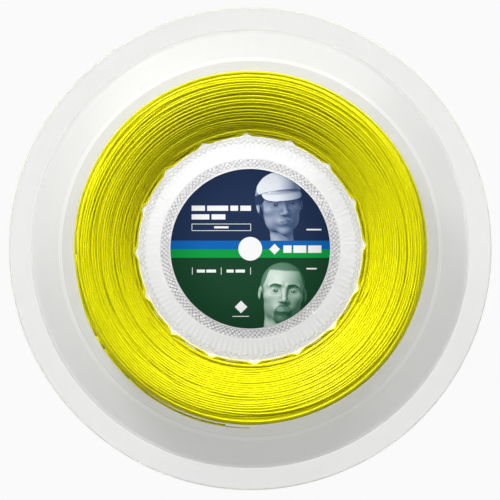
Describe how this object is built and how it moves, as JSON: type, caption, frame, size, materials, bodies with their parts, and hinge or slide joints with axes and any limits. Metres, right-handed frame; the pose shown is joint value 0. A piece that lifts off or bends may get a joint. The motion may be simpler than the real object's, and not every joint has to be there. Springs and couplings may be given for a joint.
{
  "type": "string reel",
  "caption": "Clear plastic reel wound with yellow racket string, with a printed disc on each face and a through bore for a spindle.",
  "frame": {"origin": "on the reel's axis, in the plane that the rear rim rests on", "axes": "+Z along the reel's axis, from the rear rim to the front rim; the front label reads upright with +Y up"},
  "size_m": [0.26, 0.26, 0.0478],
  "materials": {
    "clear_plastic": "clear moulded plastic, slightly milky",
    "string_yellow": "smooth extruded monofilament",
    "label_print": "satin printed film",
    "tape_clear": "clear adhesive tape"
  },
  "bodies": {
    "root": {"front_flange": "clear_plastic", "rear_flange": "clear_plastic", "winding_drum": "clear_plastic", "spindle_tube": "clear_plastic", "front_label": "label_print", "rear_label": "label_print", "string_winding": "string_yellow", "tail_tape": "tape_clear"}
  },
  "joints": []
}
